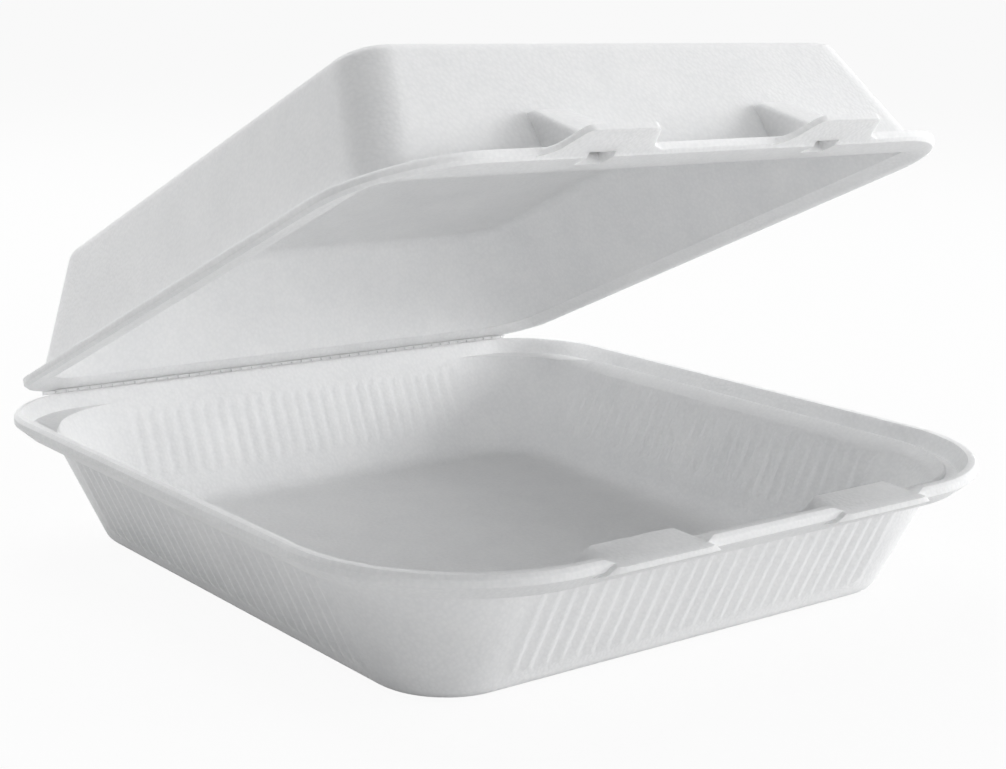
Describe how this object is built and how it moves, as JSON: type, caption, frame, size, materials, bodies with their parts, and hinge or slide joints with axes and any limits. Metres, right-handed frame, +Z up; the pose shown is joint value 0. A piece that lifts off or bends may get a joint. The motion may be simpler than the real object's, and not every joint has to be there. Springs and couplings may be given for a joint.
{
  "type": "hinged clamshell food container",
  "caption": "Square takeaway clamshell with a fluted tray, a plain domed lid on a rear crease hinge and matching front lock tabs.",
  "frame": {"origin": "centre of the tray's flat foot, on the surface it stands on", "axes": "+Z up, +X along the hinge crease to the right seen from the front, +Y to the rear where the hinge is"},
  "size_m": [0.232, 0.2418, 0.1608],
  "materials": {
    "foam": "matte"
  },
  "bodies": {
    "tray": {"base_tray": "foam"},
    "lid": {"lid": "foam"}
  },
  "joints": [
    {"name": "lid_hinge", "type": "hinge", "parent": "tray", "child": "lid", "pos_m": [0, 0.11205, 0.0423], "axis": [-1, 0, 0], "range_deg": [-24, 156]}
  ]
}
